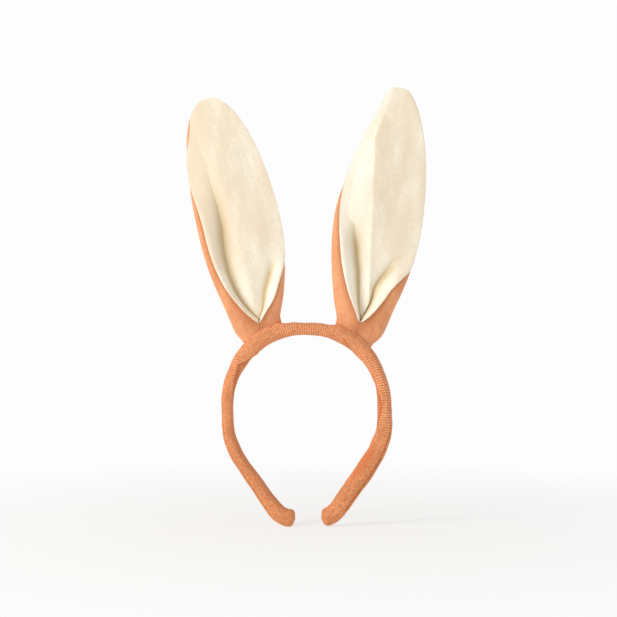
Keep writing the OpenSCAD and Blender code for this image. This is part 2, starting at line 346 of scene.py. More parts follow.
class Finishes:
    """Every material of the headband, built once."""

    SPUN = (2500.0, (0.35, 0.65), 1.0, {"Roughness": 0.7})  # the fine plies of a dull thread

    def __init__(self) -> None:
        """Builds the materials."""
        self.knit = KnittedVelour().material()
        # the third colour of each pile cloth is a painted shade for the pile in a fold
        self.velour = PileCloth("short_pile_velour", "#f0ab7e", "#cd7f50", "#a9572b", 1.3, 0.45,
                                "#ffd2b0").material()
        self.plush = PileCloth("short_pile_plush", "#fffaea", "#efdfc6", "#d3bd94", 1.1, 0.3,
                               "#fffaf0").material()
        self.thread = SolidFinish("spun_polyester_thread", "#b4602f", "#dd8f5f", *self.SPUN).material()
        self.undyed = SolidFinish("undyed_spun_polyester_thread", "#dccaa8", "#f5e9d2",
                                  *self.SPUN).material()
        self.plastic = SolidFinish("moulded_polypropylene", "#d8d7cf", "#e6e5de", 120.0, (0.4, 0.6), 2.0,
                                   {"Roughness": 0.45, "IOR": 1.49}).material()
        self.wire = SolidFinish("annealed_steel_wire", "#8d9096", "#b9bcc2", 900.0, (0.4, 0.6), 2.0,
                                {"Metallic": 1.0, "Roughness": 0.38}).material()


def emptied(holder: Any) -> bpy.types.NodeTree:
    """The node tree of a material or world, with nothing in it."""
    holder.use_nodes = True
    holder.node_tree.nodes.clear()
    return holder.node_tree


# ---------- Making pieces ----------


def placed(name: str, data: Any) -> bpy.types.Object:
    """A new object of the scene, from its mesh, curve, light or camera."""
    thing = bpy.data.objects.new(name, data)
    bpy.context.scene.collection.objects.link(thing)
    return thing


def new_piece(name: str, mesh: bmesh.types.BMesh, material: bpy.types.Material) -> bpy.types.Object:
    """Turns a finished bmesh, in millimetres, into a smooth-shaded object at the origin.

    Args:
        name: the piece's name.
        mesh: its shape, which is freed.
        material: its finish.

    Returns:
        The new object.
    """
    for face in mesh.faces:
        face.smooth = True
    bmesh.ops.scale(mesh, vec=(MM, MM, MM), verts=mesh.verts[:])
    data = bpy.data.meshes.new(name)
    mesh.to_mesh(data)
    mesh.free()
    data.materials.append(material)
    piece = placed(name, data)
    LOG.info("%s: %d vertices, %d faces", name, len(data.vertices), len(data.polygons))
    return piece


@dataclass(frozen=True)
class Spot:
    """Where one vertex of a sheet of cloth goes.

    Fields:
        place: its position (mm).
        cloth: its place on the cloth, across and along (mm).
        crease: how much painted shade it gets for lying in a fold or groove, 0 to 1.
        nap: how far the pile is brushed over there, 0 to 1.
    """

    place: tuple[float, float, float]
    cloth: tuple[float, float]
    crease: float = 0.0
    nap: float = 0.0


def laid_cloth(columns: int, rows: int, spot: Callable[[float, float], Spot]) -> bmesh.types.BMesh:
    """A grid of cloth with every vertex put where spot says.

    Args:
        columns, rows: how finely the cloth is divided.
        spot: gives a vertex's Spot from its shares across and along, each 0 to 1.

    Returns:
        The open sheet, with its UV map and attributes.
    """
    mesh = bmesh.new()
    cloth_map = mesh.loops.layers.uv.new(CLOTH_MAP)
    crease = mesh.verts.layers.float.new(PAINTED_SHADE)
    nap = mesh.verts.layers.float.new(NAP)
    bmesh.ops.create_grid(mesh, x_segments=columns, y_segments=rows, size=0.5)
    places = {}
    for vertex in mesh.verts:
        found = spot(vertex.co.x + 0.5, vertex.co.y + 0.5)
        vertex.co = found.place
        vertex[crease] = found.crease
        vertex[nap] = found.nap
        places[vertex.index] = found.cloth
    for face in mesh.faces:
        for loop in face.loops:
            loop[cloth_map].uv = places[loop.vert.index]
    return mesh


def crisp_rim(mesh: bmesh.types.BMesh) -> list[bmesh.types.BMEdge]:
    """Makes an open sheet's rim a sharp edge, and returns its edges."""
    rim = [edge for edge in mesh.edges if edge.is_boundary]
    for edge in rim:
        edge.smooth = False
    return rim


def thicken(mesh: bmesh.types.BMesh, wall: float) -> None:
    """Gives an open sheet its thickness inwards, and keeps its rim crisp.

    Args:
        mesh: the sheet, with its faces pointing out.
        wall: the cloth's thickness (mm).
    """
    crisp_rim(mesh)
    mesh.normal_update()
    outward = mesh.verts.layers.float_vector.new("outward")
    for vertex in mesh.verts:
        vertex[outward] = vertex.normal
    made = bmesh.ops.extrude_face_region(mesh, geom=mesh.faces[:], use_keep_orig=True)["geom"]
    for vertex in made:
        if isinstance(vertex, bmesh.types.BMVert):
            vertex.co -= vertex[outward] * wall
    mesh.verts.layers.float_vector.remove(outward)
    bmesh.ops.recalc_face_normals(mesh, faces=mesh.faces[:])


def face_out(mesh: bmesh.types.BMesh, out: Callable[[Vector], Vector]) -> None:
    """Turns the whole sheet over if most of it faces against out, which gives the outward way at a point."""
    mesh.normal_update()
    leaning = sum(face.calc_area() * face.normal.dot(out(face.calc_center_median())) for face in mesh.faces)
    if leaning < 0:
        bmesh.ops.reverse_faces(mesh, faces=mesh.faces[:])


def stitch(mesh: bmesh.types.BMesh, start: Vector, end: Vector, out: Vector, thread_r: float) -> None:
    """Adds one stitch, a short bead of thread that arches out of the cloth, to mesh.

    Args:
        mesh: what it is added to (mm).
        start, end: where it leaves and enters the cloth.
        out: which way it stands proud.
        thread_r: the thread's radius.
    """
    made = bmesh.ops.create_uvsphere(mesh, u_segments=8, v_segments=6, radius=1.0)["verts"]
    along = end - start
    across = along.cross(out).normalized()
    for vertex in made:
        x, y, z = vertex.co
        arch = thread_r * STITCH_ARCH * (1 - z * z)
        vertex.co = ((start + end) / 2 + along * (z / 2) + across * (x * thread_r)
                     + out.normalized() * (y * thread_r + arch))


def sewn(name: str, body: str, node: str, mesh: bmesh.types.BMesh, finishes: Finishes) -> None:
    """Turns finished stitches into a piece that rides on a body and stands for a plain thread node."""
    piece = new_piece(name, mesh, finishes.thread)
    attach(piece, body)
    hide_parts(node)


def rod(name: str, path: list[Vector], radius: float, material: bpy.types.Material) -> bpy.types.Object:
    """A round wire or thread along a path, as a new object.

    Args:
        name: the piece's name.
        path: the points that it passes (mm).
        radius: its radius (mm).
        material: its finish.
    """
    curve = bpy.data.curves.new(name, "CURVE")
    curve.dimensions = "3D"
    curve.bevel_depth = radius
    curve.bevel_resolution = 1
    curve.use_fill_caps = True
    spline = curve.splines.new("POLY")
    spline.points.add(len(path) - 1)
    for point, place in zip(spline.points, path):
        point.co = (*place, 1.0)
    holder = placed(name + "_path", curve)
    bpy.context.view_layer.update()
    mesh = bmesh.new()
    drawn = bpy.data.meshes.new_from_object(holder)
    mesh.from_mesh(drawn)
    bpy.data.objects.remove(holder)
    bmesh.ops.recalc_face_normals(mesh, faces=mesh.faces[:])
    return new_piece(name, mesh, material)


# ---------- Covered hoop ----------


@dataclass(frozen=True)
class HoopLine:
    """Centre line of the covered hoop, from the top of the crown down to one tip (mm).

    Fields:
        crown_r: radius of the crown's centre line.
        side_run: straight run below the widest point.
        bend_r, bend_turn: bend that turns the leg in.
        leg_run: straight run of the lower leg.
        tip_r, tip_turn: hook at the tip.
    """

    crown_r: float
    side_run: float = 8.0
    bend_r: float = 54.0
    bend_turn: float = 34.0
    leg_run: float = 43.0
    tip_r: float = 18.0
    tip_turn: float = 45.0

    def runs(self) -> list[tuple[float, float]]:
        """(length, degrees turned) of each stretch, in order."""
        bends = [(self.crown_r, 90.0), (0, self.side_run), (self.bend_r, self.bend_turn), (0, self.leg_run),
                 (self.tip_r, self.tip_turn)]
        return [(math.radians(turn) * r, turn) if r else (turn, 0.0) for r, turn in bends]

    def length(self) -> float:
        """Length of the whole line."""
        return sum(run for run, _ in self.runs())

    def at(self, along: float) -> tuple[float, float, float]:
        """(x, z, heading) at a distance from the top; the heading is the angle turned so far, in radians."""
        x, z, heading = 0.0, self.crown_r, 0.0
        left = along
        for run, turn in self.runs():
            step = min(left, run)
            if turn:
                r = run / math.radians(turn)
                after = heading + step / r
                x += r * (math.sin(after) - math.sin(heading))
                z += r * (math.cos(after) - math.cos(heading))
                heading = after
            else:
                x += step * math.cos(heading)
                z -= step * math.sin(heading)
            left -= step
            if left <= 0:
                return x, z, heading
        return x + left * math.cos(heading), z - left * math.sin(heading), heading

    def by_angle(self, degrees: float) -> float:
        """Distance along the line at an angle from the top of the crown."""
        return math.radians(degrees) * self.crown_r


@dataclass(frozen=True)
class Girth:
    """How plump the covered band is at one place (mm): its thickness, and how far its middle sits out."""

    along: float
    thick: float
    out: float


@dataclass(frozen=True)
class Lap:
    """A lapped or twisted edge of the sleeve: a ridge that runs along the band and round it.

    Fields:
        start, end: where it begins and ends along the band (mm).
        start_turn, end_turn: where round the band, in degrees (0 outside, 90 front, 180 head side).
        rise: how far the upper layer stands out (mm).
        sink: depth of the hollow beyond its edge (mm).
        spread: how far the hollow reaches (mm).
    """

    start: float
    end: float
    start_turn: float
    end_turn: float
    rise: float
    sink: float
    spread: float

    EASE = 0.15                 # share of its length over which it starts and ends
    UPPER = 5.0                 # how far the upper layer's lift reaches round the band (mm)
    EDGE = 0.7                  # how wide the step down from it is (mm)

    def height(self, along: float, turn: float, girth: float) -> tuple[float, float]:
        """(how far the cloth is raised, how much painted shade its hollow gets) at a place on the band."""
        share = (along - self.start) / (self.end - self.start)
        if not -self.EASE < share < 1 + self.EASE:
            return 0.0, 0.0
        ease = 2 * self.EASE
        fade = smooth((share + self.EASE) / ease) * smooth((1 + self.EASE - share) / ease)
        edge = mix(self.start_turn, self.end_turn, max(0.0, min(1.0, share)))
        away = (turn - edge) * girth / 360
        if away < 0:
            return fade * self.rise * math.exp(away / self.UPPER), 0.0
        step = smooth(away / self.EDGE)
        hollow = step * math.exp(-away / self.spread)
        return fade * (self.rise * (1 - step) - self.sink * hollow), fade * hollow


class Sleeve:
    """One half of the padded, covered hoop, from the top of the crown to a tip."""

    RINGS = 620
    TIP_RINGS = 26
    AROUND = 100
    TIP_LENGTH = 4.6            # the rounded, gathered end
    STITCH = 1.75               # pitch of the knitted courses
    WALE = 1.6                  # pitch of the loops round the band
    SEAM = 48.0                 # degrees round to the sewn edge of the leg
    CORNER = 2.5                # squareness of the section: 2 is an ellipse
    RIB = 0.17                  # height of the stretched courses over the crown
    LOOP = 0.19                 # height of the single loops on the leg
    LUMP = 0.45                 # height of the padding's slow lumps
    DENT = 0.2                  # height of its smaller dents
    PLEAT = 0.4                 # depth of the gathers at the closed tip
    PLEATS = 9                  # how many gathers there are
    TWIST = 3.6                 # how far the courses are pulled askew beside the ear
    TWIST_AT = 46.0             # where they are, from the top of the crown
    RIBBED_TO = {Side.LEFT: 66.0, Side.RIGHT: 108.0}  # where the ribs fade out, from the top of the crown
    SEAM_SHOWS = {Side.LEFT: 0.35, Side.RIGHT: 1.0}   # how plainly each leg's seam shows
    SEAM_RUN = (100.0, 174.0)   # where it starts and ends, from the top of the crown
    WELT = 0.6                  # height of the turned-in cloth beside it
    GROOVE = 0.9                # depth of the sewn line
    BRUSHED = (134.0, 132.0)    # the patch of smooth nap: from the top (mm), and round the band (degrees)
    BACK_STITCHES = (3.0, 17)   # first place along the crown's back seam, and how many on each side
    LEG_STITCHES = (104.0, 27)  # the same for the leg's seam
    STITCH_STEP = 2.6           # pitch of the sewing
    BEND = (52, 76)             # angles from the top where the cloth would bend with the leg; their points are worked out in build but not used

    def __init__(self, side: Side, line: HoopLine, width: float, girths: list[Girth], laps: list[Lap],
                 overhang: float) -> None:
        """Keeps what the half is made from.

        Args:
            side: which half.
            line: the hoop's centre line.
            width: the band's width, front to back (mm).
            girths: how plump it is along the line.
            laps: lapped edges of its cover.
            overhang: how far the gathered end stands past the hoop's own end (mm).
        """
        self.side = side
        self.line = line
        self.width = width
        self.girths = girths
        self.laps = laps
        self.end = line.length() + overhang

    def plump(self, along: float) -> tuple[float, float]:
        """(thickness, outward shift) of the band at a distance from the top."""
        for near, far in zip(self.girths, self.girths[1:]):
            if along <= far.along:
                share = smooth((along - near.along) / (far.along - near.along))
                return mix(near.thick, far.thick, share), mix(near.out, far.out, share)
        return self.girths[-1].thick, self.girths[-1].out

    def girth(self, along: float) -> float:
        """Length round the band, which is close to three times its mean thickness."""
        return 1.5 * (self.plump(along)[0] + self.width)

    def ribbed(self, along: float, turn: float) -> float:
        """How plainly the courses stand out as ribs, 0 to 1: over the crown and on the outside more."""
        reach = self.RIBBED_TO[self.side]
        outside = 0.35 + 0.65 * smooth((150 - abs(turn if turn < 180 else 360 - turn)) / 60)
        return (1 - smooth((along - reach + 16) / 32)) * outside

    def seam(self, along: float, turn: float) -> tuple[float, float]:
        """(height, painted shade in its groove) of the sewn edge that runs down the outside of a leg."""
        first, last = self.SEAM_RUN
        shown = smooth((along - first) / 14) * smooth((last - along) / 8) * self.SEAM_SHOWS[self.side]
        away = (turn if turn < 180 else turn - 360) - self.SEAM
        welt = self.WELT * bell((away + 22) / 15)
        groove = bell(away / 5.5)
        return shown * (welt - self.GROOVE * groove), shown * groove

    def surface(self, along: float, turn: float, end: float = 1.0) -> Spot:
        """The cloth at a distance from the top and an angle round the band.

        Args:
            along: distance from the top of the crown (mm).
            turn: degrees round the band: 0 outside, 90 front, 180 head side, 270 back.
            end: how much of the section is left, which falls to 0 at the closed tip.

        Returns:
            Where the cloth lies there.
        """
        thick, shift = self.plump(along)
        girth = self.girth(along)
        angle = math.radians(turn)
        squash = 2 / self.CORNER
        out = math.copysign(abs(math.cos(angle)) ** squash, math.cos(angle))
        front = math.copysign(abs(math.sin(angle)) ** squash, math.sin(angle))
        sign = self.side.value
        twist = self.TWIST * math.sin(angle - 0.6) * bell((along - self.TWIST_AT) / 20)
        ribs = self.ribbed(along, turn)
        course = math.cos(2 * math.pi * (along + twist) / self.STITCH)
        wale = math.cos(2 * math.pi * turn / 360 * round(girth / self.WALE))
        loops = course * wale
        fuzz = 1 + 0.5 * wander(along / 2.3, out * 4, front * 4 + 9 * sign)
        knit = fuzz * (self.RIB * ribs * course + self.LOOP * (1 - ribs) * loops)
        # groove: how far into the knit's gaps a point lies, which gets painted shade through the crease
        # attribute
        groove = 0.5 - 0.5 * fuzz * (ribs * course + (1 - ribs) * loops)
        lumps = self.LUMP * wander(along / 13, 2 * out + 3 * sign, front * 2)
        dents = self.DENT * wander(along / 5, out * 3, front * 3)
        lift, crease = self.seam(along, turn)
        for lap in self.laps:
            raised, hollow = lap.height(along, turn, girth)
            lift += raised
            crease = max(crease, hollow)
        pleats = self.PLEAT * (1 - end) * math.cos(self.PLEATS * angle + 2 * wander(out, front, sign))
        swell = (knit + lumps + dents + lift + pleats) * min(1.0, 2 * end) / (math.hypot(out, front) or 1.0)
        off = shift + out * (end * thick / 2 + swell)
        forward = front * (end * self.width / 2 + swell)
        x, z, heading = self.line.at(along)
        place = (sign * (x + off * math.sin(heading)), -forward, z + off * math.cos(heading))
        # painted shade: the knit's gaps, the laps' hollows and the sewn line go into the crease attribute,
        # which darkens their colour
        depth = mix(0.95, 0.75, ribs) * groove + 0.8 * crease
        return Spot(place, (along, turn / 360 * girth), max(0.0, min(1.0, depth)), self.nap(along, turn))

    def nap(self, along: float, turn: float) -> float:
        """How smooth the nap is brushed: one patch low on the right leg, towards its head side."""
        if self.side is Side.LEFT:
            return 0.0
        patch = bell((along - self.BRUSHED[0]) / 15) * bell((turn - self.BRUSHED[1]) / 30)
        return 0.85 * smooth(patch * 1.6)

    def ring(self, share: float) -> tuple[float, float]:
        """(distance from the top, how much of the section is left) for a share of the rings."""
        count = self.RINGS + self.TIP_RINGS
        step = share * count
        body = self.end - self.TIP_LENGTH
        if step <= self.RINGS:
            return body * step / self.RINGS, 1.0
        part = math.sin(math.pi / 2 * (step - self.RINGS) / self.TIP_RINGS)
        return body + self.TIP_LENGTH * part, max(0.0, 1 - part ** 2.6) ** (1 / 2.2)

    def build(self, finishes: Finishes) -> bpy.types.Object:
        """Makes the half sleeve as one closed, padded piece, and hides the plain crown and leg pieces that it
        stands for.
        """
        def spot(across: float, down: float) -> Spot:
            along, end = self.ring(down)
            found = self.surface(along, 360 * across % 360, end)
            return found if across < 1 else replace(found, cloth=(along, self.girth(along)))

        mesh = laid_cloth(self.AROUND, self.RINGS + self.TIP_RINGS, spot)
        bmesh.ops.remove_doubles(mesh, verts=mesh.verts[:], dist=1e-4)
        bmesh.ops.dissolve_degenerate(mesh, edges=mesh.edges[:], dist=1e-5)
        bmesh.ops.holes_fill(mesh, edges=crisp_rim(mesh), sides=0)
        bmesh.ops.recalc_face_normals(mesh, faces=mesh.faces[:])
        word = self.side.word
        piece = new_piece(word + "_sleeve", mesh, finishes.knit)
        start, end = (tuple(self.middle(self.line.by_angle(degrees)) * MM) for degrees in self.BEND)
        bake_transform(piece)
        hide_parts("crown_sleeve", "crown_padding", word + "_leg_sleeve", word + "_leg_padding")
        return piece

    def middle(self, along: float) -> Vector:
        """A point of the hoop's centre line (mm)."""
        x, z, _ = self.line.at(along)
        return Vector((self.side.value * x, 0, z))

    def skin(self, along: float, turn: float, end: float = 1.0) -> Vector:
        """The point of the cloth at a distance from the top and an angle round the band (mm)."""
        return Vector(self.surface(along, turn, end).place)

    def row_of_stitches(self, name: str, body: str, node: str,
                        places: list[tuple[float, float, float, float]], finishes: Finishes,
                        thread_r: float) -> None:
        """Sews a row of stitches into the sleeve.

        Args:
            name: the piece's name.
            body: the body that it rides on.
            node: the plain thread that it stands for.
            places: where each stitch starts and ends: from the top (mm) and round (degrees), twice.
            finishes: the materials.
            thread_r: the thread's radius (mm).
        """
        mesh = bmesh.new()
        for along, turn, end_along, end_turn in places:
            start, end = self.skin(along, turn), self.skin(end_along, end_turn)
            stitch(mesh, start, end, (start + end) / 2 - self.middle(along), thread_r)
        sewn(name, body, node, mesh, finishes)

    def sew(self, finishes: Finishes) -> None:
        """Sews the back seam of the crown, the outer seam of the leg and the closed tip."""
        word = self.side.word
        leg = word + "_leg"
        seams = ((word + "_crown_seam", "crown", "crown_seam_thread", self.BACK_STITCHES, 270, 1.7, 0.28),
                 (leg + "_seam", leg, leg + "_seam_thread", self.LEG_STITCHES, self.SEAM, 1.6, 0.22))
        for name, body, node, (first, count), turn, length, thread_r in seams:
            starts = [first + self.STITCH_STEP * k for k in range(count)]
            places = [(start, turn, start + length, turn) for start in starts]
            self.row_of_stitches(name, body, node, places, finishes, thread_r)
        mesh = bmesh.new()
        for k in range(5):
            low, high = (self.skin(self.end - 0.3, turn % 360, 0.38) for turn in (-38 + 19 * k, 142 + 19 * k))
            middle = (low + high) / 2
            stitch(mesh, mix(middle, low, 0.55), mix(middle, high, 0.55), self.tip_way(), 0.3)
        sewn(word + "_tip_closing", leg, word + "_tip_stitches", mesh, finishes)

    def tip_way(self) -> Vector:
        """Which way the band runs at its tip."""
        _, _, heading = self.line.at(self.line.length())
        return Vector((self.side.value * math.cos(heading), 0, -math.sin(heading)))


# ---------- Ears ----------


@dataclass(frozen=True)
class EarEdge:
    """One long edge of an ear: its outline, and how it is folded forward at the base (mm).

    Fields:
        base, widest: half width at the band and at the widest place.
        widest_at: share of the ear's length at the widest place.
        rise: how late it widens.
        fullness: roundness towards the tip; 2 is an ellipse.
        crease, crease_run: back cloth turned to the front at the base, and how fast that narrows.
        lip, lip_top, lip_taper: back cloth that still shows above, up to lip_top.
        fold_top, fold_taper: height at which the fold has opened flat, and the run before it.
        roll_low, roll_high, roll_rise: width of the plush roll beside the valley, and where it grows.
        blunt: half width that the tip keeps until its last few millimetres.
        spread: share of the width over which the edge is still rounded where it lies flat.
        peek, peek_at: back cloth that shows again near the tip, and where.
    """

    base: float
    widest: float
    widest_at: float
    rise: float
    fullness: float
    crease: float
    crease_run: float
    lip: float
    lip_top: float
    lip_taper: float
    fold_top: float
    fold_taper: float
    roll_low: float
    roll_high: float
    roll_rise: float
    blunt: float
    spread: float
    peek: float = 0.0
    peek_at: float = 140.0

    TIP = 8.0                   # length of the rounded tip
    MERGE = 5                   # how tightly the body's outline runs into the tip's

    def half(self, t: float, length: float) -> float:
        """Half width at a height."""
        u = t / length
        if u < self.widest_at:
            opened = math.sin(math.pi / 2 * max(0.0, u) / self.widest_at) ** self.rise
            return mix(self.base, self.widest, opened)
        past = min(1.0, (u - self.widest_at) / (1 - self.widest_at))
        tip = min(1.0, max(0.0, (t - length) / self.TIP + 1))
        body = self.widest * (1 - past ** self.fullness) ** (1 / self.fullness)
        end = self.blunt * (1 - tip ** 2.5) ** (1 / 2.5)
        return (body ** self.MERGE + end ** self.MERGE) ** (1 / self.MERGE)

    def flank(self, t: float, length: float) -> float:
        """Width of the back cloth that shows from the front at a height."""
        low = self.crease * math.exp(-((max(0.0, t) / self.crease_run) ** 1.3))
        high = self.lip * smooth((self.lip_top - t) / self.lip_taper)
        again = self.peek * bell((t - self.peek_at) / 11)
        return min(low + high + again, 1.3 * self.half(t, length))

    def fold(self, t: float) -> float:
        """How firmly the edge is folded at a height, 0 to 1."""
        return smooth((self.fold_top - t) / self.fold_taper)

    def roll(self, t: float) -> float:
        """Width of the plush roll at a height."""
        return mix(self.roll_low, self.roll_high, smooth(t / self.roll_rise))


@dataclass(frozen=True)
class EarShape:
    """What makes one ear differ from the other (mm, in the ear's own frame).

    Fields:
        outer, inner: its two edges.
        ridge_low, ridge_high: sideways place of the soft ridge at the base and at the tip.
        ridge: height of that ridge.
        ridge_sharp: 0 for a soft swell, 1 for a crisp fold line.
        wrinkles: depth of the cross wrinkles on the inner flank.
        seed: picks its unevenness.
        nap_inner, nap_outer: how far the plush is brushed over on each side of the ridge; on the right ear
            this is painted light and shade, paler on the facet towards the key light and darker on the one
            turned away.
    """

    outer: EarEdge
    inner: EarEdge
    ridge_low: float
    ridge_high: float
    ridge: float
    ridge_sharp: float
    wrinkles: float
    seed: float
    nap_inner: float
    nap_outer: float


@dataclass(frozen=True)
class EdgeLevel:
    """One edge of an ear's section at one height (mm; sideways places grow towards the outer edge).

    Fields:
        half: where the outline is.
        seam: where plush and velour are sewn together.
        roll: sideways run of the plush roll, from the seam inwards.
        fold: how firmly the edge is folded, 0 to 1.
        rise: how far forward the seam stands.
    """

    half: float
    seam: float
    roll: float
    fold: float
    rise: float


@dataclass(frozen=True)
class Level:
    """An ear's section at one height: its edges, how full it is, and how far its folded edges meet."""

    outer: EdgeLevel
    inner: EdgeLevel
    full: float
    closed: float


class Ear:
    """One ear: a plush front and a velour back, wadded between, with a wired and sewn edge."""

    COLUMNS = 110
    BACK_COLUMNS = 96
    ROWS = 250
    LOW = -9.0                  # the ear starts this far below its flex line, inside the sleeve
    SUNK = 3.0                  # depth of its bottom edge in the sleeve
    LIP = 0.22                  # share of the columns in each rolled edge
    FLANK = 0.18                # share of the back's columns in each flank
    WALL = 0.9                  # thickness of each cloth
    SPLIT = 5.75                # the lower part ends this far above the flex line, square to the band
    SETTLE = 30.0               # height over which the bottom's curve straightens out
    WIRE_IN = 6.0               # how far inside the edge the wire lies
    INSET = 0.45                # how far the velour is rolled back behind the plush where no flank shows
    PART = 0.5                  # half of what parts plush and velour at the very tip
    SLIT = 0.1                  # what is left between the two folded edges at the base
    ARCH = 2.2                  # how far the tip bends back
    FLOOR = 0.8                 # how far forward the plush lies where it is flat
    VALLEY = 2.4                # how far it sinks where it is folded
    PUFF = 3.1                  # how plump a folded roll is
    STAND = 4.8                 # how far forward a folded edge stands
    BACK = 0.5                  # how far back the velour's edge lies where it is flat
    BACK_FOLD = 1.5             # how much further back where it is folded
    BULGE = 2.3                 # how far the wadding swells the back where it is flat
    BULGE_FOLD = 1.7            # how much more where it is folded
    SWELL = 0.55                # height of the wadding's slow swells
    DENT = 0.22                 # height of its smaller dents
    SPLIT_LOW = 4.5             # where the lower bend would start, below the first flex line; worked out in build but not used
    SPLIT_HIGH = 5.0            # and where it would end, above that line; not used either
    SPLAY_RUN = 14.0            # where the next bend would start, above the first line; not used either

    def __init__(self, side: Side, shape: EarShape, frame: dict[str, Any], crown_outer: float) -> None:
        """Takes the ear's place from the frame.

        Args:
            side: which ear.
            shape: its own form.
            crown_outer: outside radius of the crown (mm).
        """
        self.side = side
        self.shape = shape
        joints = {joint["name"]: joint for joint in frame["joints"]}
        tilt = Vector(joints[side.word + "_ear_tilt"]["pos_m"]) / MM
        splay = Vector(joints[side.word + "_ear_splay"]["pos_m"]) / MM
        self.foot = Vector((abs(tilt.x), 0, tilt.z))
        rise = Vector((abs(splay.x), 0, splay.z)) - self.foot
        self.lean = math.atan2(rise.x, rise.z)
        self.splay_height = rise.length
        self.seat = math.atan2(self.foot.x, self.foot.z)
        self.crown_outer = crown_outer
        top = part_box(side.word + "_ear_front_panel")[1].z / MM
        self.length = (top - self.foot.z) / math.cos(self.lean)

    def place(self, s: float, depth: float, t: float) -> tuple[float, float, float]:
        """A point in the row frame (mm) from its sideways place, depth towards the front and height."""
        x = self.foot.x + s * math.cos(self.lean) + t * math.sin(self.lean)
        z = self.foot.z - s * math.sin(self.lean) + t * math.cos(self.lean)
        arch = self.ARCH * smooth((t - 30) / (self.length - 30)) ** 2
        return self.side.value * x, arch - depth, z

    def height(self, share: float) -> float:
        """Height above the flex line for a share of the rows, closer together near the tip."""
        run = self.length - self.LOW
        return self.LOW + run * (0.55 * share + 0.45 * math.sin(math.pi / 2 * share))

    def settled(self, t: float, s: float) -> float:
        """Height with the bottom rows curved to follow the band."""
        turn = self.seat - self.lean
        reach = self.crown_outer - self.SUNK
        middle_t = -self.foot.length * math.cos(turn)
        middle_s = -self.foot.length * math.sin(turn)
        band = middle_t + math.sqrt(max(0.0, reach ** 2 - (s - middle_s) ** 2))
        return t + (band - self.LOW) * (1 - smooth((t - self.LOW) / self.SETTLE))

    def level(self, t: float) -> Level:
        """The section's measures at a height."""
        edges = (self.shape.outer, self.shape.inner)
        halves = [edge.half(t, self.length) for edge in edges]
        flanks = [edge.flank(t, self.length) for edge in edges]
        seams = [halves[0] - flanks[0], flanks[1] - halves[1]]
        closed = smooth(1 - (seams[0] - seams[1]) / 5)
        if seams[0] - seams[1] < self.SLIT:
            middle = sum(seams) / 2
            seams = [middle + self.SLIT / 2, middle - self.SLIT / 2]
        made = []
        for edge, way, half, flank, seam in zip(edges, (1, -1), halves, flanks, seams):
            lying = mix(0.1, edge.spread, smooth((self.length - 15 - t) / 40))
            room = (seams[0] - seams[1]) * mix(lying, 0.47, edge.fold(t))
            made.append(EdgeLevel(half=way * half, seam=seam, roll=-way * min(edge.roll(t), room),
                                  fold=edge.fold(t), rise=self.STAND * smooth(flank / 8.5)))
        full = math.sqrt(max(0.0, 1 - max(0.0, t / self.length) ** 9))
        return Level(made[0], made[1], full * mix(0.62, 1, smooth((t - self.LOW) / 22)), closed)

    def uneven(self, s: float, t: float) -> float:
        """Slow dents and swells of the wadded cloth (mm)."""
        seed = self.shape.seed
        return self.SWELL * wander(s / 17, t / 30, seed) + self.DENT * wander(s / 7, t / 11, seed + 5)

    def front(self, across: float, t: float) -> tuple[float, float, float]:
        """(sideways, depth, painted shade) of the plush at a share across, from the outer seam to the inner.
        """
        at = self.level(t)
        floors = [self.FLOOR - self.VALLEY * edge.fold for edge in (at.outer, at.inner)]
        if across < self.LIP or across > 1 - self.LIP:
            outer = across < self.LIP
            edge, floor = (at.outer, floors[0]) if outer else (at.inner, floors[1])
            angle = math.pi * (across if outer else 1 - across) / self.LIP
            gone = (1 - math.cos(angle)) / 2
            puff = self.PUFF * edge.fold * math.sin(angle) * (1 - 0.45 * gone)
            s = edge.seam + edge.roll * gone
            depth = mix(edge.rise, floor, mix(math.sin(angle / 2), gone, edge.fold)) + puff
            # painted shade in the valley where a folded roll turns under
            crease = edge.fold * smooth((gone - 0.55) / 0.45)
        else:
            share = (across - self.LIP) / (1 - 2 * self.LIP)
            near, far = at.outer.seam + at.outer.roll, at.inner.seam + at.inner.roll
            s = mix(near, far, share)
            peak = max(0.12, min(0.88, (near - self.ridge_at(t)) / max(0.5, near - far)))
            up = share / peak if share < peak else (1 - share) / (1 - peak)
            lift = self.shape.ridge * smooth((t + 5) / 35) * smooth((self.length - 6 - t) / 50)
            fold = mix(at.outer.fold, at.inner.fold, smooth(share))
            swell = mix(math.sin(math.pi / 2 * up), smooth(up), fold)
            depth = mix(*floors, share) + lift * mix(swell, up, self.shape.ridge_sharp)
            # painted shade along the valleys beside the folded rolls
            crease = fold * max(bell(share * 7), bell((1 - share) * 7))
        depth += self.uneven(s, t) - self.VALLEY * at.closed
        return s, mix(self.PART, depth, at.full), crease

    def back(self, across: float, t: float) -> tuple[float, float, float]:
        """(sideways, depth, painted shade) of the velour at a share across, from the outer seam to the inner.
        """
        at = self.level(t)
        lows = [-self.BACK - self.BACK_FOLD * edge.fold for edge in (at.outer, at.inner)]
        if across < self.FLANK or across > 1 - self.FLANK:
            outer = across < self.FLANK
            edge, low = (at.outer, lows[0]) if outer else (at.inner, lows[1])
            share = (across if outer else 1 - across) / self.FLANK
            angle = math.pi / 2 * share
            inset = self.inset(edge)
            width = abs(edge.half - edge.seam)
            s = mix(edge.seam, edge.half, math.sin(angle)) - inset
            depth = mix(low, edge.rise, math.cos(angle))
            if not outer:
                depth += self.wrinkle(t) * math.sin(2 * angle) * smooth(width / 5)
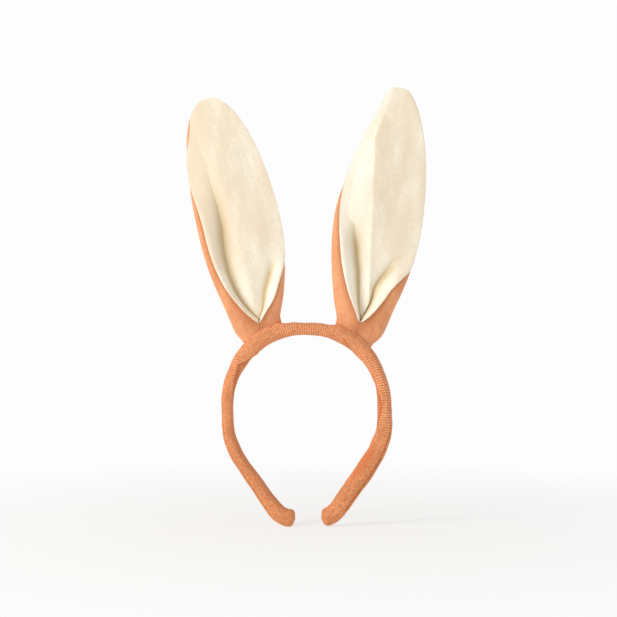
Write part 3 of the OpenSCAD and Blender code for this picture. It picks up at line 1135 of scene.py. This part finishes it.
            # painted shade on the flank next to the seam
            crease = 0.5 * bell(share * 5) * smooth(width / 3)
        else:
            share = (across - self.FLANK) / (1 - 2 * self.FLANK)
            angle = math.pi * share
            near, far = (edge.half - self.inset(edge) for edge in (at.outer, at.inner))
            s = mix(near, far, (1 - math.cos(angle)) / 2)
            bulge = self.BULGE + self.BULGE_FOLD * (at.outer.fold + at.inner.fold) / 2
            depth = mix(*lows, share) - bulge * math.sin(angle) ** 0.75
            crease = 0.0
        return s, mix(-self.PART, depth + self.uneven(s, t), at.full), crease

    def inset(self, edge: EdgeLevel) -> float:
        """How far the velour stays inside the plush's outline, signed like it, where no flank shows."""
        hidden = 1 - smooth(abs(edge.half - edge.seam) / 1.5)
        return math.copysign(min(self.INSET, 0.1 * abs(edge.half)) * hidden, edge.half)

    def ridge_at(self, t: float) -> float:
        """Sideways place of the soft ridge at a height."""
        straight = mix(self.shape.ridge_low, self.shape.ridge_high, t / self.length)
        return max(straight, -0.6 * self.shape.inner.half(t, self.length))

    def nap(self, s: float, t: float) -> float:
        """How far the plush is brushed over at a place: for the right ear's crisp ridge this is painted light
        and shade on its two facets, for the left ear the pile's own tone.
        """
        reach = mix(14.0, 1.4, self.shape.ridge_sharp)
        past = smooth((s - self.ridge_at(t)) / reach + 0.5)
        return mix(self.shape.nap_inner, self.shape.nap_outer, past) * smooth((t - 18) / 55)

    def wrinkle(self, t: float) -> float:
        """Depth of the cross wrinkles low on the inner flank (mm)."""
        depths = bell((t - 9) / 1.7) + 0.9 * bell((t - 3) / 1.5) + 0.35 * bell((t - 19) / 2)
        return -self.shape.wrinkles * depths

    def cloth(self, section: Callable[[float, float], tuple[float, float, float]], columns: int,
              plush: bool) -> bmesh.types.BMesh:
        """Lays one whole panel of the ear.

        Args:
            section: front or back.
            columns: how many strips across.
            plush: True for the plush front, False for the velour back.

        Returns:
            The open sheet, facing away from the wadding.
        """
        def spot(across: float, up: float) -> Spot:
            t = self.height(up)
            if not plush:
                t -= self.INSET * smooth((t - self.length + 20) / 20)
            s, depth, crease = section(across, t)
            low = self.settled(t, s)
            # painted shade where the ear's foot goes down into the sleeve
            band_shade = 0.7 * smooth((6 - t + self.LOW) / 6) if t < 0 else 0.0
            tuck = 1 - 0.5 * smooth(-low / 26) if s > 0 else 1.0
            nap = self.nap(s, t) if plush else 0.0
            return Spot(self.place(s * tuck, depth, low), (s, t), max(crease, band_shade), nap)

        mesh = laid_cloth(columns, self.ROWS, spot)
        bmesh.ops.remove_doubles(mesh, verts=mesh.verts[:], dist=1e-3)
        way = Vector((0, -1 if plush else 1, 0))
        face_out(mesh, lambda _: way)
        return mesh

    def parted(self, mesh: bmesh.types.BMesh) -> tuple[bmesh.types.BMesh, bmesh.types.BMesh]:
        """Cuts a panel square to the band just above the flex line, and returns (lower, upper)."""
        sign = self.side.value
        normal = Vector((sign * math.sin(self.seat), 0, math.cos(self.seat)))
        place = Vector((sign * self.foot.x, 0, self.foot.z)) + normal * self.SPLIT
        upper = mesh.copy()
        for part, keep_upper in ((mesh, False), (upper, True)):
            bmesh.ops.bisect_plane(part, geom=part.verts[:] + part.edges[:] + part.faces[:], plane_co=place,
                                   plane_no=normal, clear_outer=not keep_upper, clear_inner=keep_upper)
        return mesh, upper

    def build(self, finishes: Finishes) -> None:
        """Makes both panels, each in a lower and an upper part, and the wire and thread in the edge."""
        word = self.side.word
        sign = self.side.value
        out = Vector((sign * math.sin(self.seat), 0, math.cos(self.seat)))
        up = Vector((sign * math.sin(self.lean), 0, math.cos(self.lean)))
        foot = Vector((sign * self.foot.x, 0, self.foot.z))
        low_bend = (foot - self.SPLIT_LOW * out, foot + self.SPLIT_HIGH * out)
        high_bend = (foot + self.SPLAY_RUN * up, foot + (2 * self.splay_height - self.SPLAY_RUN) * up)
        base = word + "_ear_base"
        panels = [("front_panel", self.front, self.COLUMNS, finishes.plush, "cream_plush",
                   ["front_panel", "wadding"], []),
                  ("back_panel", self.back, self.BACK_COLUMNS, finishes.velour, "orange_velour",
                   ["back_panel", "foot"], ["neck", "tab"])]
        for name, section, columns, material, slot, upper_nodes, lower_nodes in panels:
            lower, upper = self.parted(self.cloth(section, columns, name == "front_panel"))
            parts = [(lower, "_pleats", ("crown", base), low_bend, lower_nodes),
                     (upper, "", (base, word + "_ear"), high_bend, upper_nodes)]
            for mesh, ending, bodies, (start, end), nodes in parts:
                thicken(mesh, self.WALL)
                piece = new_piece(f"{word}_ear_{name}{ending}", mesh, material)
                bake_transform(piece)
                if nodes:
                    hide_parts(*(f"{word}_ear_{node}" for node in nodes))
        self.edge_pieces(finishes)

    def edge_pieces(self, finishes: Finishes) -> None:
        """Lays the bendable wire inside the edge, and sews the seam between plush and velour."""
        word = self.side.word
        steps = 90
        low = 2 * self.splay_height - 12
        run = self.length - self.WIRE_IN - low
        heights = [low + run * math.sin(math.pi / 2 * k / steps) for k in range(steps + 1)]
        wire, seam = [], []
        for outer in (True, False):
            for t in heights if outer else heights[::-1]:
                at = self.level(t)
                s = at.outer.half - self.WIRE_IN if outer else at.inner.half + self.WIRE_IN
                s *= smooth((self.length - 4 - t) / 14)
                wire.append(Vector(self.place(s, self.uneven(s, t) - 0.9, t - self.WIRE_IN)))
                s, depth, _ = self.front(0.006 if outer else 0.994, t)
                seam.append(Vector(self.place(s, depth - 0.1, t)))
        lines = (("wire", wire, 0.6, finishes.wire, "edge_wire"),
                 ("edge_thread", seam, 0.2, finishes.undyed, "sewing_thread"))
        for name, path, radius, material, slot in lines:
            piece = rod(f"{word}_ear_{name}_line", path, radius, material)
            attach(piece, word + "_ear")
            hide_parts(f"{word}_ear_{name}")

    def whip(self, sleeve: Sleeve, finishes: Finishes) -> None:
        """Sews the ear down to the sleeve with slanted stitches, front and back."""
        word = self.side.word
        middle = self.seat * sleeve.line.crown_r
        places = []
        for turn, way in ((44, 1), (316, -1)):
            for step in range(-2, 3):
                along = middle + 7.5 * step
                places.append((along, turn - 16 * way, along + 1.2, turn + 12 * way))
        sleeve.row_of_stitches(word + "_ear_whip_stitches", "crown", word + "_ear_stitches", places, finishes,
                               0.24)


# ---------- Stage ----------


@dataclass(frozen=True)
class Stage:
    """A plain pale floor under the tips, soft studio light from the left, and the camera.

    Fields:
        floor_z: height of the floor (m).
        look_at: the point in the middle of the picture (m).
        view_wide: width of what the camera sees at the headband (m).
        lens, sensor: the camera's focal length and sensor width (mm).
    """

    floor_z: float
    look_at: tuple[float, float, float] = (0.0018, 0.0, 0.0695)
    view_wide: float = 0.444
    lens: float = 85.0
    sensor: float = 36.0

    SURROUND = "#fdfdfd"        # what the far floor and the surround look like

    def camera(self) -> None:
        """Sets the camera level with the middle of the headband, looking at its front."""
        data = bpy.data.cameras.new("camera")
        data.lens = self.lens
        data.sensor_width = self.sensor
        camera = placed("camera", data)
        x, y, z = self.look_at
        camera.location = (x, y - self.view_wide * self.lens / self.sensor, z)
        camera.rotation_euler = (math.pi / 2, 0, 0)
        bpy.context.scene.camera = camera

    def lamp(self, name: str, place: tuple[float, float, float], size: float, power: float,
             colour: str) -> None:
        """Adds a square soft light (m, W) aimed at the headband."""
        data = bpy.data.lights.new(name, "AREA")
        data.size = size
        data.energy = power
        data.color = linear(colour)[:3]
        lamp = placed(name, data)
        lamp.location = place
        lamp.rotation_euler = (Vector(self.look_at) - Vector(place)).to_track_quat("-Z", "Y").to_euler()

    def world(self) -> None:
        """A near-white surround to look at, which lights the headband a little less than it shows."""
        world = bpy.data.worlds.new("surround")
        tree = emptied(world)
        seen = add(tree, "Background", {"Color": linear(self.SURROUND), "Strength": 1.0})
        felt = add(tree, "Background", {"Color": linear("#fffdf9"), "Strength": 0.5})
        path = add(tree, "LightPath")
        both = add(tree, "MixShader", {0: path.outputs["Is Camera Ray"], 1: felt.outputs[0],
                                       2: seen.outputs[0]})
        add(tree, "OutputWorld", {"Surface": both.outputs[0]})
        bpy.context.scene.world = world

    def floor(self) -> None:
        """A large pale floor that glows a little, so that it meets the surround without an edge."""
        mesh = bmesh.new()
        bmesh.ops.create_grid(mesh, x_segments=1, y_segments=1, size=3.0)
        bmesh.ops.translate(mesh, vec=(0, 0, self.floor_z), verts=mesh.verts[:])
        data = bpy.data.meshes.new("floor")
        mesh.to_mesh(data)
        mesh.free()
        material = bpy.data.materials.new("pale_floor")
        tree = emptied(material)
        place = add(tree, "TexCoord").outputs["Object"]
        near = add(tree, "TexGradient", {"Vector": place}, gradient_type="SPHERICAL").outputs["Fac"]
        share = add(tree, "MapRange", {"Value": near, "From Min": 0.55, "From Max": 0.9, "To Min": 0.0,
                                       "To Max": 0.3}).outputs[0]
        glow = add(tree, "Emission", {"Color": linear(self.SURROUND), "Strength": 1.0})
        matt = add(tree, "BsdfDiffuse", {"Color": linear("#f6f6f6")})
        both = add(tree, "MixShader", {0: share, 1: glow.outputs[0], 2: matt.outputs[0]})
        add(tree, "OutputMaterial", {"Surface": both.outputs[0]})
        data.materials.append(material)
        placed("floor", data)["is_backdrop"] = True

    def build(self) -> None:
        """Sets the whole stage."""
        self.camera()
        self.world()
        self.floor()
        self.lamp("key_light", (-1.15, -0.7, 0.7), 0.5, 13.0, "#fffaf2")
        self.lamp("fill_light", (0.9, -1.2, 0.5), 1.2, 2.2, "#fbfcff")
        bpy.context.scene.view_settings.view_transform = "Standard"


# ---------- The headband ----------


LEFT_GIRTHS = [Girth(0, 8.4, -1.6), Girth(11, 9.6, -0.8), Girth(22, 12.2, 0.6), Girth(38, 12.4, 0.8),
               Girth(52, 11.2, 0.4), Girth(66, 9.4, 0.2), Girth(95, 8.4, 0.0), Girth(130, 9.4, 1.0),
               Girth(160, 10.4, 0.6), Girth(178, 12.4, 0.0), Girth(190, 13.0, 0.0)]
RIGHT_GIRTHS = [Girth(0, 8.4, -1.6), Girth(14, 9.2, -1.0), Girth(24, 11.8, 0.4), Girth(38, 12.6, 0.8),
                Girth(50, 11.0, 0.3), Girth(62, 9.8, 0.0), Girth(85, 10.4, -0.2), Girth(112, 12.2, 0.3),
                Girth(140, 13.2, 0.9), Girth(165, 12.8, 0.4), Girth(190, 12.6, 0.0)]
LEFT_LAPS = [Lap(41, 58, 172, 88, 0.7, 1.5, 5.0), Lap(58, 92, 88, 150, 0.35, 1.0, 4.0)]
RIGHT_LAPS = [Lap(70, 90, 140, 100, 0.35, 1.5, 7.0), Lap(90, 112, 100, 158, 0.35, 1.5, 7.0),
              Lap(30, 50, 100, 196, 0.5, 0.7, 3.0)]
LEFT_OVERHANG = 3.6             # how far each gathered end stands past the hoop's own end (mm)
RIGHT_OVERHANG = 0.4

LEFT_EAR = EarShape(
    outer=EarEdge(base=15.8, widest=27.8, widest_at=0.42, rise=0.9, fullness=2.4, crease=12.6, crease_run=20,
                  lip=4.6, lip_top=118, lip_taper=44, fold_top=122, fold_taper=56, roll_low=3.0,
                  roll_high=14.5, roll_rise=100, blunt=6.0, spread=0.3, peek=2.0, peek_at=145),
    inner=EarEdge(base=17.0, widest=32.3, widest_at=0.42, rise=1.0, fullness=2.0, crease=12.6,
                  crease_run=13.4, lip=3.0, lip_top=44, lip_taper=22, fold_top=50, fold_taper=18,
                  roll_low=2.5, roll_high=9.5, roll_rise=24, blunt=7.0, spread=0.2),
    ridge_low=-1.0, ridge_high=4.0, ridge=2.6, ridge_sharp=0.0, wrinkles=0.3, seed=3.0, nap_inner=0.75,
    nap_outer=1.25)
RIGHT_EAR = EarShape(
    outer=EarEdge(base=13.5, widest=32.0, widest_at=0.43, rise=0.75, fullness=1.9, crease=11.5, crease_run=16,
                  lip=7.5, lip_top=50, lip_taper=22, fold_top=60, fold_taper=22, roll_low=3.0, roll_high=14.5,
                  roll_rise=45, blunt=9.0, spread=0.15),
    inner=EarEdge(base=17.5, widest=31.4, widest_at=0.45, rise=1.1, fullness=1.42, crease=13,
                  crease_run=30, lip=5.0, lip_top=112, lip_taper=60, fold_top=80, fold_taper=22,
                  roll_low=2.0, roll_high=11.3, roll_rise=45, blunt=8.8, spread=0.1),
    # nap_inner and nap_outer: painted light and shade, the ridge's facet towards the key light paler and the
    # one turned away darker
    ridge_low=6.0, ridge_high=-17.0, ridge=3.2, ridge_sharp=1.0, wrinkles=0.9, seed=11.0, nap_inner=0.1,
    nap_outer=0.8)


class Headband:
    """The whole headband."""

    def __init__(self, frame: dict[str, Any]) -> None:
        """Takes the sizes from the frame.
        """
        self.frame = frame
        inner = frame["record"]["mounts"][0]["dims"]["r_mm"]
        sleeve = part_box("crown_sleeve")
        outer = sleeve[1].z / MM
        width = (sleeve[1].y - sleeve[0].y) / MM
        line = HoopLine(crown_r=(inner + outer) / 2)
        self.finishes = Finishes()
        self.sleeves = {Side.LEFT: Sleeve(Side.LEFT, line, width, LEFT_GIRTHS, LEFT_LAPS, LEFT_OVERHANG),
                        Side.RIGHT: Sleeve(Side.RIGHT, line, width, RIGHT_GIRTHS, RIGHT_LAPS,
                                           RIGHT_OVERHANG)}
        self.ears = {Side.LEFT: Ear(Side.LEFT, LEFT_EAR, frame, outer),
                     Side.RIGHT: Ear(Side.RIGHT, RIGHT_EAR, frame, outer)}

    def build(self) -> None:
        """Makes every piece, and dresses what is kept of the plain model."""
        for side in Side:
            self.sleeves[side].build(self.finishes)
            self.sleeves[side].sew(self.finishes)
            self.ears[side].build(self.finishes)
            self.ears[side].whip(self.sleeves[side], self.finishes)
        self.dress()

    def dress(self) -> None:
        """Gives the hoop strips, which stay as they are, their finish."""
        for name, node in self.frame["nodes"].items():
            if name.endswith("_hoop"):
                node.data.materials.clear()
                node.data.materials.append(self.finishes.plastic)
                LOG.info("%s: dressed", name)


def main() -> None:
    """Loads the frame, builds the stage with its floor at the plain model's lowest point, and builds the
    headband.
    """
    logging.basicConfig(level=logging.INFO, format="%(name)s: %(message)s")
    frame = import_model()
    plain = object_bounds()
    Stage(floor_z=plain[0][2]).build()
    Headband(frame).build()


if __name__ == "__main__":
    main()
